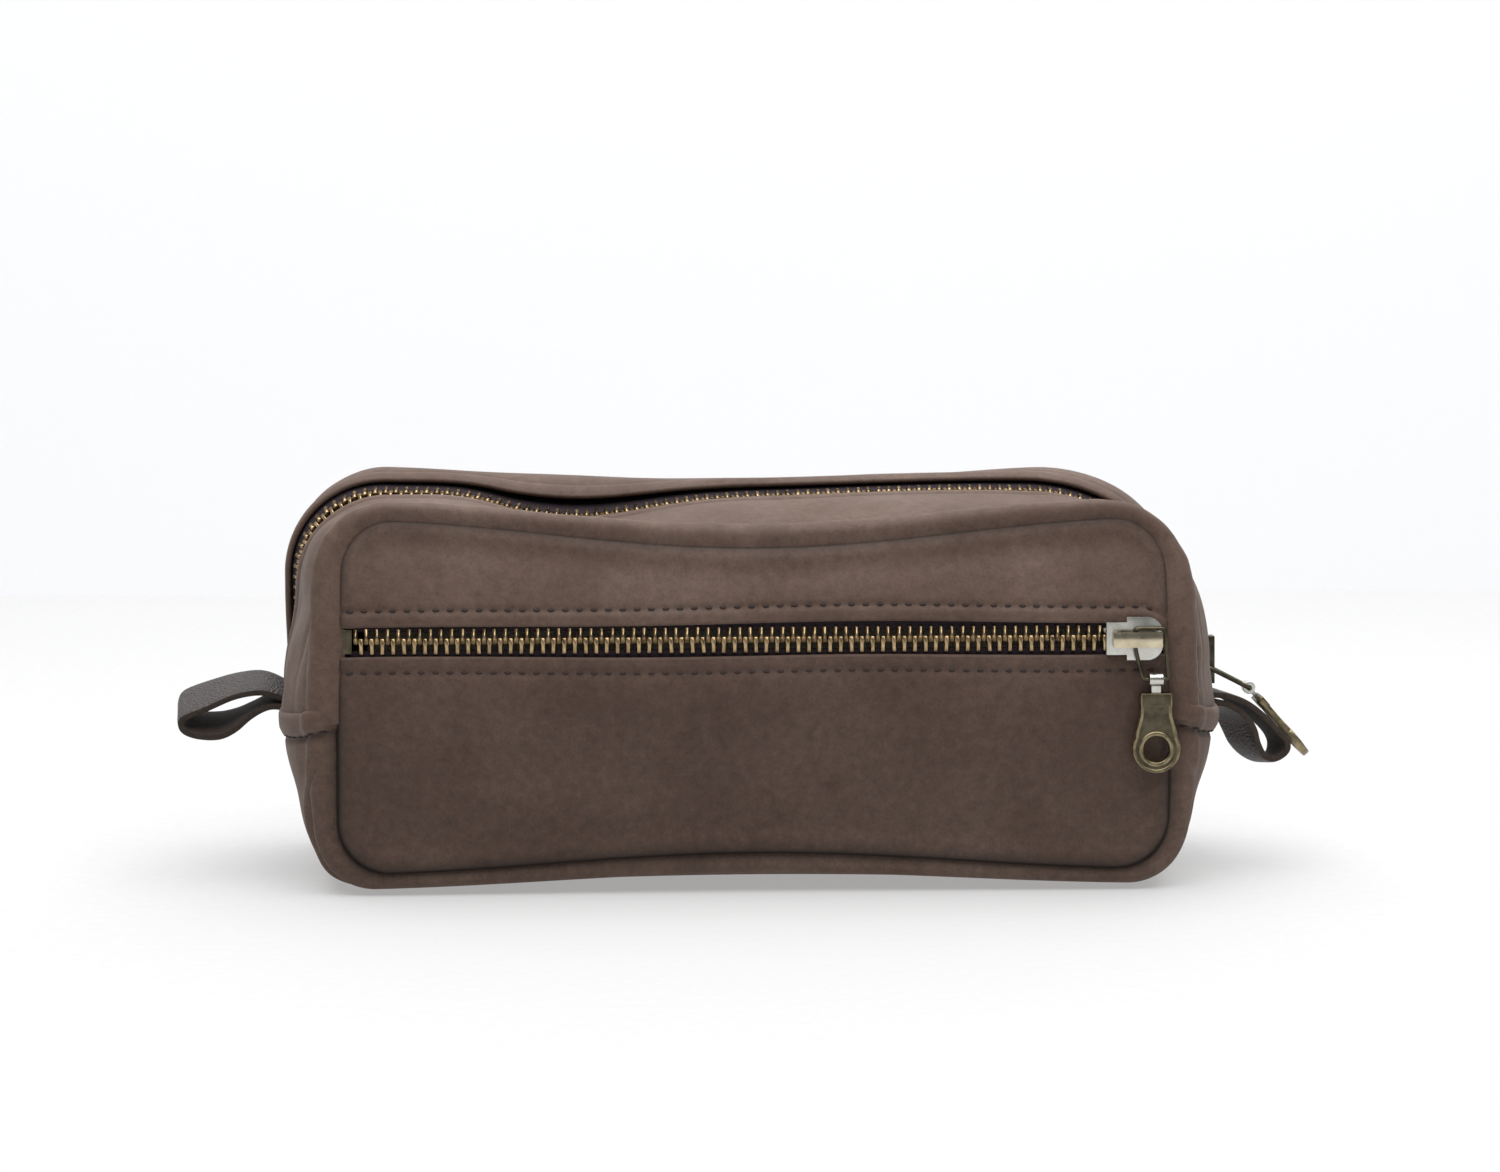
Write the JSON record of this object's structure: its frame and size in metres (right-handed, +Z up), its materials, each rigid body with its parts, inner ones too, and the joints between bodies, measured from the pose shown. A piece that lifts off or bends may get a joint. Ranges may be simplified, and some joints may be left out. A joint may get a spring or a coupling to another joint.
{
  "type": "shaving kit bag",
  "caption": "Soft leather box-shaped toiletry bag with an over-the-top zip, a zipped front pocket and leather end loops.",
  "frame": {"origin": "on the floor under the middle of the bag", "axes": "+X along the bag's length towards the slider end of the main zip, +Y from the pocket side to the back, +Z up"},
  "size_m": [0.2915, 0.0901, 0.097],
  "materials": {
    "body_leather": "matte nubuck leather, mottled taupe brown",
    "loop_leather": "pebbled near-black leather",
    "zip_tape": "woven dark plum-brown zip tape",
    "antique_brass": "antique brass",
    "nickel": "worn satin nickel",
    "lining_fabric": "plain woven lining"
  },
  "bodies": {
    "bag": {"front_upper_panel": "body_leather", "front_lower_panel_ends": "body_leather", "back_panel": "body_leather", "front_strip_ends": "body_leather", "back_strip_ends": "body_leather", "bottom_gusset": "body_leather", "main_tape_front_ends": "zip_tape", "main_tape_back_ends": "zip_tape", "main_teeth_front_ends": "antique_brass", "main_teeth_back_ends": "antique_brass", "main_bottom_stop": "antique_brass", "main_top_stops": "antique_brass", "pocket_tape_upper": "zip_tape", "pocket_tape_lower_ends": "zip_tape", "pocket_teeth_upper": "antique_brass", "pocket_teeth_lower_ends": "antique_brass", "pocket_bottom_stop": "antique_brass", "pocket_top_stops": "antique_brass", "pocket_lining": "lining_fabric", "front_lining": "lining_fabric", "back_lining": "lining_fabric", "gusset_lining": "lining_fabric"},
    "mouth_front": {"front_strip": "body_leather", "main_tape_front": "zip_tape", "main_teeth_front": "antique_brass", "front_strip_lining": "lining_fabric"},
    "mouth_back": {"back_strip": "body_leather", "main_tape_back": "zip_tape", "main_teeth_back": "antique_brass", "back_strip_lining": "lining_fabric"},
    "pocket_lip": {"front_lower_panel": "body_leather", "pocket_tape_lower": "zip_tape", "pocket_teeth_lower": "antique_brass"},
    "main_slider": {"main_slider_body": "nickel", "main_slider_cap": "antique_brass"},
    "main_bail": {"main_bail": "antique_brass"},
    "main_puller": {"main_connector": "nickel", "main_pull_tab": "antique_brass"},
    "pocket_slider": {"pocket_slider_body": "nickel", "pocket_slider_cap": "antique_brass"},
    "pocket_bail": {"pocket_bail": "antique_brass"},
    "pocket_puller": {"pocket_connector": "nickel", "pocket_pull_tab": "antique_brass"},
    "left_loop": {"left_loop": "loop_leather"},
    "right_loop": {"right_loop": "loop_leather"}
  },
  "joints": [
    {"name": "mouth_front_fold", "type": "hinge", "parent": "bag", "child": "mouth_front", "pos_m": [0, -0.0406, 0.0867], "axis": [1, 0, 0], "range_deg": [0, 55]},
    {"name": "mouth_back_fold", "type": "hinge", "parent": "bag", "child": "mouth_back", "pos_m": [0, 0.0406, 0.0867], "axis": [-1, 0, 0], "range_deg": [0, 55]},
    {"name": "pocket_lip_fold", "type": "hinge", "parent": "bag", "child": "pocket_lip", "pos_m": [0, -0.0423, 0.0026], "axis": [1, 0, 0], "range_deg": [0, 10], "stiffness_Nm_per_rad": 0.05},
    {"name": "main_slider_run", "type": "hinge", "parent": "bag", "child": "main_slider", "pos_m": [0.071, 0, 0.052], "axis": [0, -1, 0], "range_deg": [0, 75], "deforming": ["main_teeth_front_ends", "main_teeth_back_ends"]},
    {"name": "main_bail_swing", "type": "hinge", "parent": "main_slider", "child": "main_bail", "pos_m": [0.11805, 0, 0.05], "axis": [0, -1, 0], "range_deg": [0, 100]},
    {"name": "main_puller_swing", "type": "hinge", "parent": "main_bail", "child": "main_puller", "pos_m": [0.1291, 0, 0.04437], "axis": [0, -1, 0], "range_deg": [0, 60]},
    {"name": "pocket_slider_run", "type": "slide", "parent": "bag", "child": "pocket_slider", "axis": [-1, 0, 0], "range_m": [0, 0.183], "deforming": ["pocket_teeth_upper", "pocket_teeth_lower", "pocket_teeth_lower_ends"]},
    {"name": "pocket_bail_swing", "type": "hinge", "parent": "pocket_slider", "child": "pocket_bail", "pos_m": [0.0929, -0.04505, 0.0625], "axis": [0, 0, -1], "range_deg": [0, 90]},
    {"name": "pocket_puller_swing", "type": "hinge", "parent": "pocket_bail", "child": "pocket_puller", "pos_m": [0.0979, -0.04505, 0.05265], "axis": [-1, 0, 0], "range_deg": [0, 100]},
    {"name": "left_loop_bend", "type": "hinge", "parent": "bag", "child": "left_loop", "pos_m": [-0.1182, 0, 0.0423], "axis": [0, 1, 0], "range_deg": [-30, 30], "stiffness_Nm_per_rad": 0.05},
    {"name": "right_loop_bend", "type": "hinge", "parent": "bag", "child": "right_loop", "pos_m": [0.1182, 0, 0.0423], "axis": [0, 1, 0], "range_deg": [0, 25], "stiffness_Nm_per_rad": 0.05}
  ]
}
